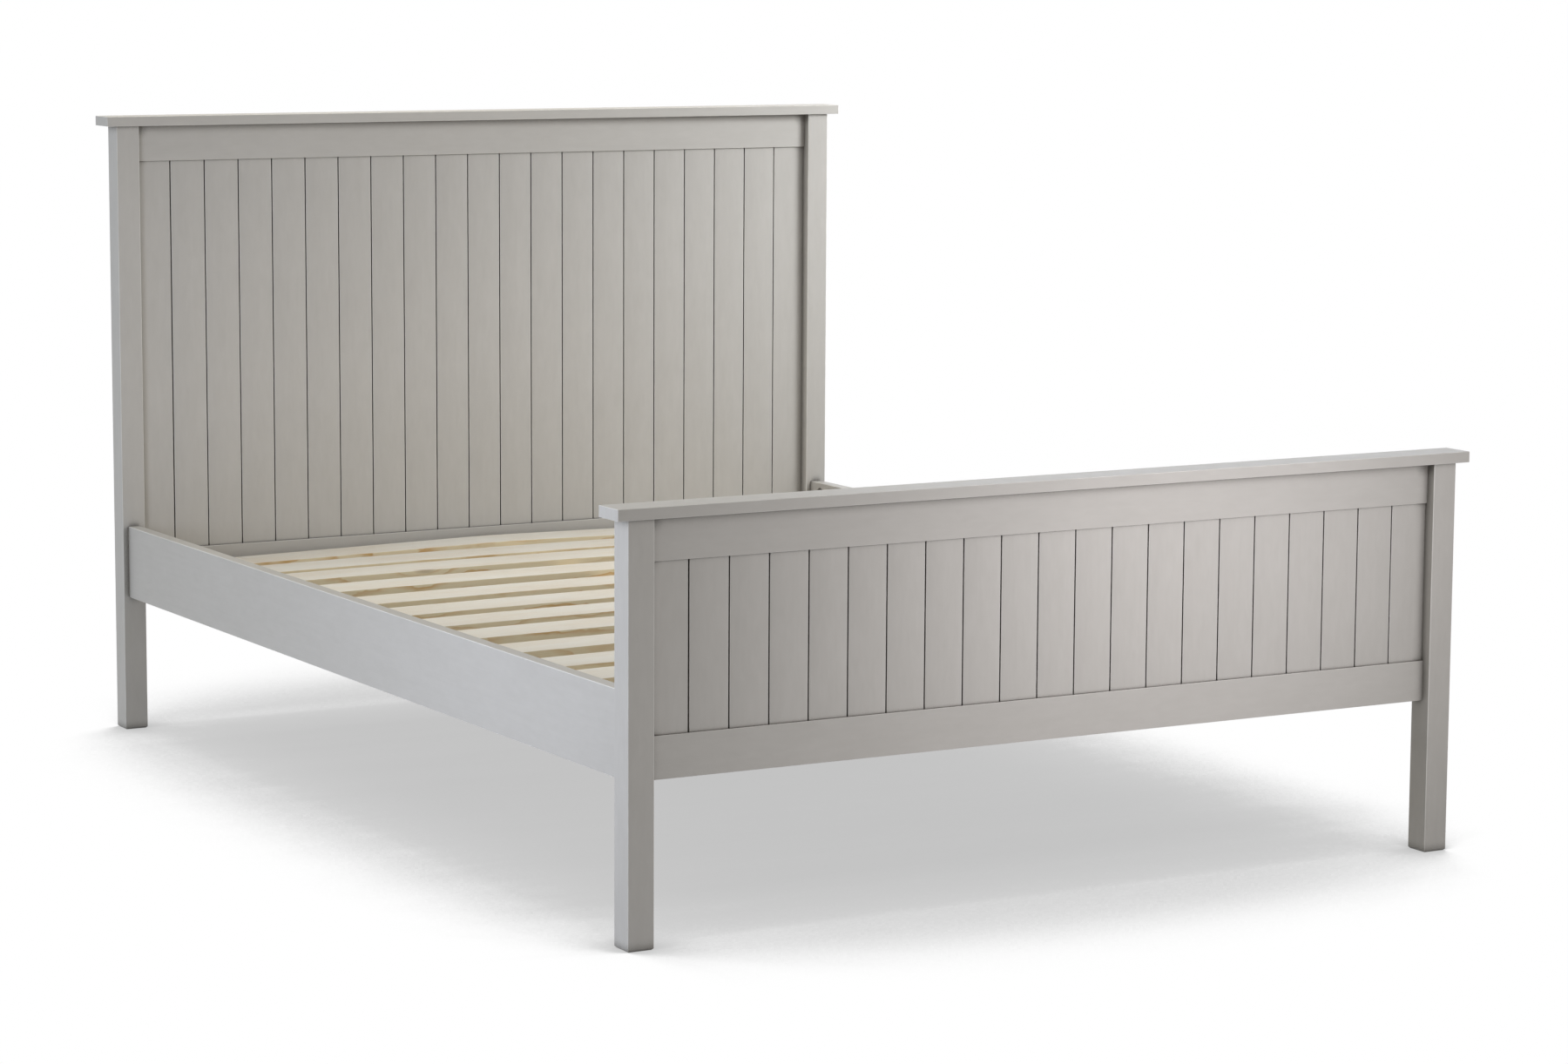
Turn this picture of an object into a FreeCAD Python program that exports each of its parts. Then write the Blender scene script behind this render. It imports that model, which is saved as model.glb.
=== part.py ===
import FreeCAD, Part
import math
import os
from collections import namedtuple
from FreeCAD import Vector

os.makedirs("parts", exist_ok=True)

# A painted double bed frame. X runs across the bed, Y along it with the foot end at -Y and the
# head end at +Y, and Z is up. The origin is on the floor, under the middle of the bed.

# Whole frame
frame_width = 1450.0
frame_length = 1982.0
head_height = 1097.0
foot_height = 631.0
rail_underside = 240.0
overrun = 1.0
alignment_tolerance = 0.001

# Posts
post_width = 42.0
post_depth = 42.0
post_edge_radius = 1.5
post_foot_chamfer = 3.0

# Caps over the posts
cap_thickness = 17.0
cap_end_overhang = 20.0
cap_side_overhang = 8.0
cap_edge_radius = 1.0

# Rails that hold the boards, set back from the front faces of the posts
panel_rail_height = 63.0
head_bottom_rail_height = 80.5
panel_rail_thickness = 20.0
panel_rail_setback = 16.0
panel_rail_edge_radius = 0.8

# Tongue and groove boards
board_count = 21
board_thickness = 12.0
board_seat_depth = 8.0
board_clearance = 0.2
board_reveal = 2.2
board_bevel = 0.8
tongue_thickness = 4.0
tongue_reach = 6.0

# Side rails, centred on the posts
side_rail_height = 128.0
side_rail_thickness = 22.0
side_rail_edge_radius = 1.5

# Ledges inside the side rails
ledge_rise = 42.0
ledge_width = 25.0
ledge_height = 20.0
ledge_edge_radius = 1.0
ledge_end_gap = 60.0

# Slats, spaced by hand: each share moves one slat towards the head by that much of the mean gap
slat_width = 88.0
slat_thickness = 15.0
slat_edge_radius = 1.0
slat_end_clearance = 3.0
slat_post_clearance = 4.0
slat_crown = 6.0
slat_bend_shares = (0.0, 0.35, 0.7, 1.0)
seat_clearance = 0.2
slat_shift_shares = (0.0, 0.15, 0.3, 0.5, 0.2, 0.4, 0.7, 0.6, 0.45, 0.4, 0.7, 0.9, 0.4, 0.0)

# Centre rail and its steel brackets
centre_rail_width = 45.0
centre_rail_height = 44.0
centre_rail_edge_radius = 1.5
centre_rail_end_clearance = 1.0
bracket_thickness = 3.0
bracket_depth = 40.0
bracket_ear_width = 20.0
bracket_rise = 4.0
bracket_bend_radius = 2.0

# Bolted corners between the side rails and the posts
bolt_diameter = 6.0
bolt_hole_clearance = 0.1
bolt_post_depth = 30.0
bolt_tail = 8.0
bolt_tip_length = 6.0
bolt_tip_radius = 0.6
bolt_tail_chamfer = 0.6
bolt_edge_distance = 22.5
pocket_radius = 13.0
pocket_depth = 17.5
pocket_end_distance = 36.0
washer_length = 12.0
washer_flat_offset = 3.0
washer_clearance = 0.1
nut_across_flats = 10.0
nut_thickness = 5.0
nut_chamfer = 0.6

# Wooden dowels
dowel_diameter = 8.0
dowel_hole_clearance = 0.1
dowel_end_clearance = 0.5
dowel_chamfer = 0.8
panel_dowel_post_depth = 14.0
panel_dowel_rail_depth = 16.0
panel_dowel_edge_distance = 18.0
cap_dowel_cap_depth = 12.0
cap_dowel_lower_depth = 18.0
cap_rail_dowel_shares = (-0.4, 0.0, 0.4)
corner_dowel_depth = 20.0

# Countersunk wood screws: every head is the same size, and the lengths differ
screw_diameter = 4.0
screw_head_diameter = 8.0
screw_head_height = 2.4
screw_tip_length = 4.0
screw_tip_radius = 0.4
screw_slot_width = 1.0
screw_slot_length = 4.4
screw_slot_depth = 1.4
screw_hole_clearance = 0.1
slat_screw_length = 30.0
slat_screw_end_distance = 12.0
ledge_screw_length = 35.0
ledge_screw_step = 2
bracket_screw_length = 16.0
bracket_screw_edge_distance = 12.0

# Places that follow from the sizes above
post_outer_x = frame_width / 2
post_inner_x = post_outer_x - post_width
post_middle_x = post_outer_x - post_width / 2
foot_front_y = -frame_length / 2
head_front_y = frame_length / 2 - post_depth
panel_rail_length = 2 * post_inner_x
board_setback = panel_rail_setback + (panel_rail_thickness - board_thickness) / 2
board_pitch = panel_rail_length / board_count
side_rail_outer_x = post_middle_x + side_rail_thickness / 2
side_rail_inner_x = post_middle_x - side_rail_thickness / 2
side_rail_top = rail_underside + side_rail_height
bolt_heights = (rail_underside + bolt_edge_distance, side_rail_top - bolt_edge_distance)
bolt_hole_radius = bolt_diameter / 2 + bolt_hole_clearance
corner_dowel_height = rail_underside + side_rail_height / 2
ledge_top = rail_underside + ledge_rise
ledge_inner_x = side_rail_inner_x - ledge_width
ledge_middle_x = side_rail_inner_x - ledge_width / 2
ledge_middle_z = ledge_top - ledge_height / 2
ledge_reach = head_front_y - ledge_end_gap
slat_count = len(slat_shift_shares)
slat_half_length = side_rail_inner_x - slat_end_clearance
slat_reach = head_front_y - slat_post_clearance
slat_pitch = (2 * slat_reach - slat_width) / (slat_count - 1)
slat_gap = slat_pitch - slat_width
centre_rail_top = ledge_top + slat_crown - seat_clearance
centre_rail_bottom = centre_rail_top - centre_rail_height
bracket_top = centre_rail_top + bracket_rise
bracket_outer_x = centre_rail_width / 2 + bracket_thickness

# The two ends of the bed. outward is the way out of the bed along Y, front_y the front of the
# posts, joint_y where the side rails meet them, bracket_y the face that carries the bracket, and
# top the top of the posts.
End = namedtuple("End", ["name", "outward", "front_y", "joint_y", "bracket_y", "top", "bottom_rail_top"])
FOOT = End(
    "foot", -1, foot_front_y, foot_front_y + post_depth,
    foot_front_y + panel_rail_setback + panel_rail_thickness,
    foot_height - cap_thickness, rail_underside + panel_rail_height)
HEAD = End(
    "head", 1, head_front_y, head_front_y,
    head_front_y + panel_rail_setback,
    head_height - cap_thickness, rail_underside + head_bottom_rail_height)
ENDS = (FOOT, HEAD)
SIDES = (("left", -1), ("right", 1))
CORNERS = [(end, side) for end in ENDS for _, side in SIDES]
BOLTS = [(end, side, height) for end, side in CORNERS for height in bolt_heights]
END_SLATS = (0, slat_count - 1)
X_AXIS = Vector(1, 0, 0)
Y_AXIS = Vector(0, 1, 0)
Z_AXIS = Vector(0, 0, 1)


def block(x_range, y_range, z_range):
    """A box between two places on each axis, given in either order."""
    low = Vector(min(x_range), min(y_range), min(z_range))
    high = Vector(max(x_range), max(y_range), max(z_range))
    size = high - low
    return Part.makeBox(size.x, size.y, size.z, low)


def rod(radius, start, end):
    """A cylinder from one point to another."""
    direction = end - start
    return Part.makeCylinder(radius, direction.Length, start, direction)


def turned(points):
    """A solid turned about Z from (radius, height) points."""
    outline = [Vector(radius, 0, height) for radius, height in points]
    face = Part.Face(Part.makePolygon(outline + [outline[0]]))
    return face.revolve(Vector(0, 0, 0), Z_AXIS, 360)


def pointed(shape, place, direction):
    """A shape made along Z, turned so that its +Z points another way, and moved to its place."""
    copy = shape.copy()
    copy.Placement = FreeCAD.Placement(place, FreeCAD.Rotation(Z_AXIS, direction))
    return copy


def cut_all(solid, tools):
    """The solid with every tool cut out of it."""
    return solid.cut(tools).removeSplitter()


def runs_along(edge, axis):
    """Whether an edge is straight and parallel to an axis."""
    run = edge.Vertexes[-1].Point - edge.Vertexes[0].Point
    return isinstance(edge.Curve, Part.Line) and run.cross(axis).Length < alignment_tolerance


def ease_edges(solid, axis, radius):
    """Rounds the straight edges that run along an axis."""
    return solid.makeFillet(radius, [edge for edge in solid.Edges if runs_along(edge, axis)])


def save(name, *shapes):
    """Writes one node, which is one solid or a group of like solids."""
    solids = [solid for shape in shapes for solid in shape.Solids]
    node = solids[0] if len(solids) == 1 else Part.makeCompound(solids)
    node.exportStep("parts/" + name + ".step")


# Screws and dowels

def wood_screw(length):
    """A countersunk screw whose head is flush at Z 0 and whose point is below."""
    head = screw_head_diameter / 2
    shank = screw_diameter / 2
    body = turned([
        (0, 0), (head, 0), (shank, -screw_head_height), (shank, screw_tip_length - length),
        (screw_tip_radius, -length), (0, -length)])
    along = (-screw_slot_length / 2, screw_slot_length / 2)
    across = (-screw_slot_width / 2, screw_slot_width / 2)
    depth = (-screw_slot_depth, overrun)
    return body.cut([block(along, across, depth), block(across, along, depth)])


def screw_hole(length):
    """The space for a screw, wider than it by the hole's clearance."""
    head = screw_head_diameter / 2 + screw_hole_clearance
    shank = screw_diameter / 2 + screw_hole_clearance
    tip = screw_tip_radius + screw_hole_clearance
    depth = length + screw_hole_clearance
    return turned([
        (0, overrun), (head, overrun), (head, 0), (shank, -screw_head_height),
        (shank, screw_tip_length - depth), (tip, -depth), (0, -depth)])


def dowel(start, end):
    """A wooden dowel with bevelled ends, a little shorter than the holes that hold it."""
    direction = end - start
    length = direction.Length - 2 * dowel_end_clearance
    radius = dowel_diameter / 2
    peg = turned([
        (0, 0), (radius - dowel_chamfer, 0), (radius, dowel_chamfer), (radius, length - dowel_chamfer),
        (radius - dowel_chamfer, length), (0, length)])
    shift = Vector(direction).normalize() * dowel_end_clearance
    return pointed(peg, start + shift, direction)


def dowel_hole(start, end):
    """The holes for a dowel, in both of the pieces that it joins."""
    return rod(dowel_diameter / 2 + dowel_hole_clearance, start, end)


# Where the dowels go: each function gives their starts and ends

def panel_dowel_spans(end, side, low, high):
    """The two dowels between a post and one end of a panel rail that reaches from low to high."""
    y = end.front_y + panel_rail_setback + panel_rail_thickness / 2
    inner = side * (post_inner_x - panel_dowel_rail_depth)
    outer = side * (post_inner_x + panel_dowel_post_depth)
    heights = (low + panel_dowel_edge_distance, high - panel_dowel_edge_distance)
    return [(Vector(inner, y, height), Vector(outer, y, height)) for height in heights]


def panel_rail_ranges(end):
    """Lowest and highest Z of the bottom rail and of the top rail."""
    return (rail_underside, end.bottom_rail_top), (end.top - panel_rail_height, end.top)


def cap_dowel_span(end, x, y):
    """An upright dowel between the cap and what is under it."""
    return Vector(x, y, end.top - cap_dowel_lower_depth), Vector(x, y, end.top + cap_dowel_cap_depth)


def post_cap_dowel_span(end, side):
    """The dowel between the cap and a post."""
    return cap_dowel_span(end, side * post_middle_x, end.front_y + post_depth / 2)


def rail_cap_dowel_spans(end):
    """The dowels between the cap and the top rail."""
    y = end.front_y + panel_rail_setback + panel_rail_thickness / 2
    return [cap_dowel_span(end, share * panel_rail_length, y) for share in cap_rail_dowel_shares]


def corner_dowel_span(end, side):
    """The dowel that locates a side rail on its post."""
    x = side * post_middle_x
    start = Vector(x, end.joint_y - end.outward * corner_dowel_depth, corner_dowel_height)
    return start, start + Y_AXIS * (2 * end.outward * corner_dowel_depth)


# Bolted corners

def pocket_centre(end, side, height):
    """The middle of the pocket that a nut sits in, on the centre line of the side rail."""
    return Vector(side * post_middle_x, end.joint_y - end.outward * pocket_end_distance, height)


def washer_flat(end, side, height):
    """The middle of the washer's flat side, where the nut bears."""
    return pocket_centre(end, side, height) + Y_AXIS * (end.outward * washer_flat_offset)


def bolt_span(end, side, height):
    """Start and end of a hanger bolt, from its tail in the pocket to its point in the post."""
    start = washer_flat(end, side, height) - Y_AXIS * (end.outward * bolt_tail)
    return start, Vector(start.x, end.joint_y + end.outward * bolt_post_depth, height)


def make_bolt(end, side, height):
    """A hanger bolt, with a plain tail for its nut and a point for the wood of the post."""
    start, stop = bolt_span(end, side, height)
    length = (stop - start).Length
    radius = bolt_diameter / 2
    bolt = turned([
        (0, 0), (radius - bolt_tail_chamfer, 0), (radius, bolt_tail_chamfer),
        (radius, length - bolt_tip_length), (bolt_tip_radius, length), (0, length)])
    return pointed(bolt, start, stop - start)


def make_washer(end, side, height):
    """A half-moon washer: a slice of a cylinder that fits the pocket's wall, flat towards the nut."""
    middle = pocket_centre(end, side, height)
    half = X_AXIS * (washer_length / 2)
    disc = rod(pocket_radius - washer_clearance, middle - half, middle + half)
    flat = washer_flat(end, side, height)
    inner_half = block(
        (flat.x - washer_length, flat.x + washer_length),
        (flat.y, flat.y - end.outward * 2 * pocket_radius),
        (height - pocket_radius, height + pocket_radius))
    hole = rod(bolt_hole_radius, flat, flat + Y_AXIS * (end.outward * pocket_radius))
    return disc.cut([inner_half, hole])


def make_nut(end, side, height):
    """A hexagon nut against the washer's flat."""
    corner = nut_across_flats / math.sqrt(3)
    corners = [Vector(corner, 0, 0)]
    for _ in range(6):
        corners.append(FreeCAD.Rotation(Z_AXIS, 60).multVec(corners[-1]))
    hexagon = Part.Face(Part.makePolygon(corners)).extrude(Z_AXIS * nut_thickness)
    rounding = turned([
        (0, 0), (corner - nut_chamfer, 0), (corner, nut_chamfer), (corner, nut_thickness - nut_chamfer),
        (corner - nut_chamfer, nut_thickness), (0, nut_thickness)])
    bore = rod(bolt_hole_radius, Vector(0, 0, -overrun), Vector(0, 0, nut_thickness + overrun))
    nut = hexagon.common(rounding).cut(bore)
    return pointed(nut, washer_flat(end, side, height), Y_AXIS * -end.outward)


# Headboard and footboard, which are built alike and both face the foot end

def make_post(end, side):
    """One post, with its groove, its dowel holes and its bolt holes."""
    plain = block(
        (side * post_inner_x, side * post_outer_x), (end.front_y, end.front_y + post_depth), (0, end.top))
    foot_edges = [edge for edge in plain.Edges if edge.BoundBox.ZMax < alignment_tolerance]
    chamfered = plain.makeChamfer(post_foot_chamfer, foot_edges)
    post = ease_edges(plain, Z_AXIS, post_edge_radius).common(chamfered)
    bottom_rail, top_rail = panel_rail_ranges(end)
    groove_heights = (end.bottom_rail_top - board_seat_depth, top_rail[0] + board_seat_depth)
    holes = [block(
        (side * (post_inner_x - overrun), side * (post_inner_x + board_seat_depth)),
        groove_y_range(end), groove_heights)]
    for low, high in (bottom_rail, top_rail):
        holes += [dowel_hole(*span) for span in panel_dowel_spans(end, side, low, high)]
    holes.append(dowel_hole(*post_cap_dowel_span(end, side)))
    holes.append(dowel_hole(*corner_dowel_span(end, side)))
    holes += [rod(bolt_hole_radius, *bolt_span(end, side, height)) for height in bolt_heights]
    return cut_all(post, holes)


def groove_y_range(end):
    """Front and back of the grooves that hold the boards."""
    front = end.front_y + board_setback
    return front - board_clearance, front + board_thickness + board_clearance


def make_panel_rail(end, low, high, groove_heights):
    """A rail between the posts, with a groove along the edge that the boards enter."""
    front = end.front_y + panel_rail_setback
    rail = block((-post_inner_x, post_inner_x), (front, front + panel_rail_thickness), (low, high))
    rail = ease_edges(rail, X_AXIS, panel_rail_edge_radius)
    groove_reach = post_inner_x + overrun
    holes = [block((-groove_reach, groove_reach), groove_y_range(end), groove_heights)]
    for _, side in SIDES:
        holes += [dowel_hole(*span) for span in panel_dowel_spans(end, side, low, high)]
    return cut_all(rail, holes)


def make_bottom_rail(end):
    """The rail under the boards, which also carries the centre rail's bracket."""
    low, high = panel_rail_ranges(end)[0]
    rail = make_panel_rail(end, low, high, (high - board_seat_depth, high + overrun))
    return cut_all(rail, ear_screw_shapes(end, screw_hole(bracket_screw_length)))


def make_top_rail(end):
    """The rail over the boards, which is dowelled to the cap."""
    low, high = panel_rail_ranges(end)[1]
    rail = make_panel_rail(end, low, high, (low - overrun, low + board_seat_depth))
    return cut_all(rail, [dowel_hole(*span) for span in rail_cap_dowel_spans(end)])


def cap_dowel_spans(end):
    """All the dowels under a cap."""
    return [post_cap_dowel_span(end, side) for _, side in SIDES] + rail_cap_dowel_spans(end)


def make_cap(end):
    """The flat cap over a pair of posts."""
    reach = post_outer_x + cap_end_overhang
    y_range = (end.front_y - cap_side_overhang, end.front_y + post_depth + cap_side_overhang)
    cap = block((-reach, reach), y_range, (end.top, end.top + cap_thickness))
    cap = cap.makeFillet(cap_edge_radius, cap.Edges)
    return cut_all(cap, [dowel_hole(*span) for span in cap_dowel_spans(end)])


def board_outline(number):
    """The outline of one board seen from above, about the middle of its thickness."""
    left = -post_inner_x + number * board_pitch + board_reveal / 2
    right = left + board_pitch - board_reveal
    face = board_thickness / 2
    bevel = face - board_bevel
    tongue = tongue_thickness / 2
    tongue_end = right + board_reveal + tongue_reach
    groove = tongue + board_clearance
    groove_end = left + tongue_reach + board_clearance
    seated_edge = post_inner_x + board_seat_depth - board_clearance
    left_side = [
        (left + board_bevel, face), (left, bevel), (left, groove), (groove_end, groove),
        (groove_end, -groove), (left, -groove), (left, -bevel), (left + board_bevel, -face)]
    right_side = [
        (right - board_bevel, -face), (right, -bevel), (right, -tongue), (tongue_end, -tongue),
        (tongue_end, tongue), (right, tongue), (right, bevel), (right - board_bevel, face)]
    if number == 0:
        left_side = [(-seated_edge, face), (-seated_edge, -face)]
    if number == board_count - 1:
        right_side = [(seated_edge, -face), (seated_edge, face)]
    return left_side + right_side


def make_board(end, number):
    """One tongue and groove board, standing on the floor of the bottom rail's groove."""
    middle_y = end.front_y + board_setback + board_thickness / 2
    bottom = end.bottom_rail_top - board_seat_depth
    top = end.top - panel_rail_height + board_seat_depth - board_clearance
    points = [Vector(x, middle_y + y, bottom) for x, y in board_outline(number)]
    return Part.Face(Part.makePolygon(points + [points[0]])).extrude(Z_AXIS * (top - bottom))


def make_end(end):
    """Writes the pieces of the headboard or of the footboard."""
    for side_name, side in SIDES:
        save(end.name + "_post_" + side_name, make_post(end, side))
    save(end.name + "_cap", make_cap(end))
    save(end.name + "_top_rail", make_top_rail(end))
    save(end.name + "_bottom_rail", make_bottom_rail(end))
    boards = [make_board(end, number) for number in range(board_count)]
    save(end.name + "_edge_board_left", boards[0])
    save(end.name + "_boards", *boards[1:-1])
    save(end.name + "_edge_board_right", boards[-1])
    save(end.name + "_rail_dowels", *[
        dowel(*span) for _, side in SIDES for low, high in panel_rail_ranges(end)
        for span in panel_dowel_spans(end, side, low, high)])
    save(end.name + "_cap_dowels", *[dowel(*span) for span in cap_dowel_spans(end)])


# Slats

def slat_centre_y(number):
    """The middle of a slat, counted from the foot."""
    return -slat_reach + slat_width / 2 + number * slat_pitch + slat_shift_shares[number] * slat_gap


def bend_places(number):
    """Where one half of a slat bends, from the middle out, and its height over the ledge there."""
    if number in END_SLATS:
        top = slat_crown + bracket_rise
        return [(0.0, top), (bracket_outer_x, top), (slat_half_length, 0.0)]
    return [(share * slat_half_length, slat_crown * (1 - share ** 2)) for share in slat_bend_shares]


def slat_rise(number, x):
    """How far the underside of a slat is above the ledge, at a place across the bed."""
    places = bend_places(number)
    for (start, high), (stop, low) in zip(places, places[1:]):
        if start <= abs(x) <= stop:
            return high + (low - high) * (abs(x) - start) / (stop - start)


def slat_screw_shape(number, side, shape):
    """A screw or its hole at one end of a slat, driven down into the ledge."""
    reach = ledge_reach - slat_screw_end_distance
    y = max(-reach, min(reach, slat_centre_y(number)))
    head_edge_x = ledge_middle_x + screw_head_diameter / 2
    z = ledge_top + slat_rise(number, head_edge_x) + slat_thickness
    return pointed(shape, Vector(side * ledge_middle_x, y, z), Z_AXIS)


def make_slat_blank(number):
    """A slat without its screw holes, across the middle of the bed."""
    half = bend_places(number)
    places = [(-x, rise) for x, rise in reversed(half[1:])] + half
    y_range = (-slat_width / 2, slat_width / 2)
    runs = []
    for (start, low), (stop, high) in zip(places, places[1:]):
        bottom = ledge_top + low
        plain = block((start, stop), y_range, (bottom, bottom + slat_thickness))
        rounded = ease_edges(plain, X_AXIS, slat_edge_radius)
        section = min(rounded.Faces, key=lambda face: face.BoundBox.XMax)
        runs.append(section.extrude(Vector(stop - start, 0, high - low)))
    return runs[0].fuse(runs[1:])


def make_slat(number, blank):
    """One slat, bent over the centre rail, with a countersunk hole at each end."""
    slat = blank.translated(Y_AXIS * slat_centre_y(number))
    hole = screw_hole(slat_screw_length)
    return cut_all(slat, [slat_screw_shape(number, side, hole) for _, side in SIDES])


# Side rails and their ledges

def ledge_screw_shapes(side, shape):
    """Screws or holes in every second gap between slats, driven outwards into the side rail."""
    gaps = range(0, slat_count - 1, ledge_screw_step)
    places = [(slat_centre_y(number) + slat_centre_y(number + 1)) / 2 for number in gaps]
    inwards = X_AXIS * -side
    return [pointed(shape, Vector(side * ledge_inner_x, y, ledge_middle_z), inwards) for y in places]


def make_side_rail(side):
    """A side rail with its bolt holes, nut pockets, dowel holes and pilot holes."""
    rail = block(
        (side * side_rail_inner_x, side * side_rail_outer_x), (FOOT.joint_y, HEAD.joint_y),
        (rail_underside, side_rail_top))
    rail = ease_edges(rail, Y_AXIS, side_rail_edge_radius)
    holes = [dowel_hole(*corner_dowel_span(end, side)) for end in ENDS]
    for end in ENDS:
        for height in bolt_heights:
            middle = pocket_centre(end, side, height)
            mouth = Vector(side * (side_rail_inner_x - overrun), middle.y, height)
            floor = Vector(side * (side_rail_inner_x + pocket_depth), middle.y, height)
            holes.append(rod(pocket_radius, mouth, floor))
            holes.append(rod(bolt_hole_radius, *bolt_span(end, side, height)))
    return cut_all(rail, holes + ledge_screw_shapes(side, screw_hole(ledge_screw_length)))


def make_ledge(side):
    """The batten that carries the ends of the slats."""
    ledge = block(
        (side * ledge_inner_x, side * side_rail_inner_x), (-ledge_reach, ledge_reach),
        (ledge_top - ledge_height, ledge_top))
    bed_side_edges = [
        edge for edge in ledge.Edges
        if runs_along(edge, Y_AXIS) and abs(edge.BoundBox.Center.x) < ledge_middle_x]
    ledge = ledge.makeFillet(ledge_edge_radius, bed_side_edges)
    slat_hole = screw_hole(slat_screw_length)
    holes = [slat_screw_shape(number, side, slat_hole) for number in range(slat_count)]
    return cut_all(ledge, holes + ledge_screw_shapes(side, screw_hole(ledge_screw_length)))


# Centre rail and its brackets

def ear_screw_shapes(end, shape):
    """Screws or holes through the ears of a bracket, driven into the bottom rail."""
    x = bracket_outer_x + bracket_ear_width / 2
    y = end.bracket_y - end.outward * bracket_thickness
    low = centre_rail_bottom - bracket_thickness + bracket_screw_edge_distance
    high = bracket_top - bracket_screw_edge_distance
    places = [Vector(side * x, y, z) for _, side in SIDES for z in (low, high)]
    return [pointed(shape, place, Y_AXIS * -end.outward) for place in places]


def cheek_screw_shapes(end, shape):
    """A screw or hole through each cheek of a bracket, driven into the centre rail."""
    y = end.bracket_y - end.outward * bracket_depth / 2
    z = (centre_rail_bottom + centre_rail_top) / 2
    return [pointed(shape, Vector(side * bracket_outer_x, y, z), X_AXIS * side) for _, side in SIDES]


def make_centre_rail():
    """The rail under the middle of the slats."""
    inset = bracket_thickness + centre_rail_end_clearance
    half = centre_rail_width / 2
    y_range = (FOOT.bracket_y + inset, HEAD.bracket_y - inset)
    rail = block((-half, half), y_range, (centre_rail_bottom, centre_rail_top))
    rail = ease_edges(rail, Y_AXIS, centre_rail_edge_radius)
    hole = screw_hole(bracket_screw_length)
    return cut_all(rail, [shape for end in ENDS for shape in cheek_screw_shapes(end, hole)])


def make_bracket(end):
    """A steel stirrup: two ears against the bottom rail, a floor, and two cheeks beside the rail."""
    half = centre_rail_width / 2
    ear_reach = bracket_outer_x + bracket_ear_width
    floor = centre_rail_bottom - bracket_thickness
    plate_y = end.bracket_y - end.outward * bracket_thickness
    tip_y = end.bracket_y - end.outward * bracket_depth
    plate = block((-ear_reach, ear_reach), (end.bracket_y, plate_y), (floor, bracket_top))
    trough = block((-bracket_outer_x, bracket_outer_x), (plate_y, tip_y), (floor, bracket_top))
    bends = [
        edge for edge in trough.Edges
        if runs_along(edge, Y_AXIS) and edge.BoundBox.ZMax < centre_rail_bottom]
    trough = trough.makeFillet(bracket_bend_radius, bends)
    space = block(
        (-half, half), (plate_y, tip_y - end.outward * overrun), (centre_rail_bottom, bracket_top + overrun))
    hole = screw_hole(bracket_screw_length)
    holes = ear_screw_shapes(end, hole) + cheek_screw_shapes(end, hole)
    return cut_all(plate.fuse(trough), [space] + holes)


# Everything is built and written here

def make_bed():
    """Writes every node of the bed."""
    for end in ENDS:
        make_end(end)
        save("centre_bracket_" + end.name, make_bracket(end))
    for side_name, side in SIDES:
        save("side_rail_" + side_name, make_side_rail(side))
        save("ledge_" + side_name, make_ledge(side))
    end_blank = make_slat_blank(0)
    middle_blank = make_slat_blank(1)
    for number in range(slat_count):
        blank = end_blank if number in END_SLATS else middle_blank
        save("slat_%02d" % (number + 1), make_slat(number, blank))
    save("centre_rail", make_centre_rail())
    save("corner_dowels", *[dowel(*corner_dowel_span(*corner)) for corner in CORNERS])
    save("hanger_bolts", *[make_bolt(*place) for place in BOLTS])
    save("half_moon_washers", *[make_washer(*place) for place in BOLTS])
    save("corner_nuts", *[make_nut(*place) for place in BOLTS])
    slat_screw = wood_screw(slat_screw_length)
    save("slat_screws", *[
        slat_screw_shape(number, side, slat_screw) for number in range(slat_count) for _, side in SIDES])
    ledge_screw = wood_screw(ledge_screw_length)
    save("ledge_screws", *[shape for _, side in SIDES for shape in ledge_screw_shapes(side, ledge_screw)])
    bracket_screw = wood_screw(bracket_screw_length)
    save("bracket_screws", *[
        shape for end in ENDS
        for shape in ear_screw_shapes(end, bracket_screw) + cheek_screw_shapes(end, bracket_screw)])


make_bed()
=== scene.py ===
import math

import bpy
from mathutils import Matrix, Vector


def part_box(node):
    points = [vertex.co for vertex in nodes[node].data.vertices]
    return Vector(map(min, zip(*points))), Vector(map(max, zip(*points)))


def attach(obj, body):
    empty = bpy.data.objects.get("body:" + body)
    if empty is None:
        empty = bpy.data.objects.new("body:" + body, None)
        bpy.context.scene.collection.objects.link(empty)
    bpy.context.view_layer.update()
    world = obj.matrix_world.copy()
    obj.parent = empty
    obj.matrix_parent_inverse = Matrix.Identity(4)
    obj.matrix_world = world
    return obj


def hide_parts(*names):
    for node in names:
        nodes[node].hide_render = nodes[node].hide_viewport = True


bl_info = {
    "name": "Double bed frame",
    "version": (1, 0, 0),
    "blender": (4, 5, 0),
    "location": "3D View > Sidebar > Bed",
    "description": "Dresses a painted double bed frame with whitewood slats",
    "category": "Object",
}

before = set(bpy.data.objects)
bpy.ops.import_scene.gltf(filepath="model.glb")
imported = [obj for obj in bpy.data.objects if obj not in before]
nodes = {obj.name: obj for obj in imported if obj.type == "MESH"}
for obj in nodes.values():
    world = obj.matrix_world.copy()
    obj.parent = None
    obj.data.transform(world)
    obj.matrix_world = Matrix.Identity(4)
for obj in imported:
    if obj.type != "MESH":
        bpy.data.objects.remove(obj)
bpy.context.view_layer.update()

ENDS = ("foot", "head")
SIDES = ("left", "right")
SLAT_NAMES = sorted(name for name in nodes if name.startswith("slat_") and name != "slat_screws")
STEEL_FITTINGS = (
    "centre_bracket_foot", "centre_bracket_head", "hanger_bolts", "half_moon_washers", "corner_nuts",
)

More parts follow.
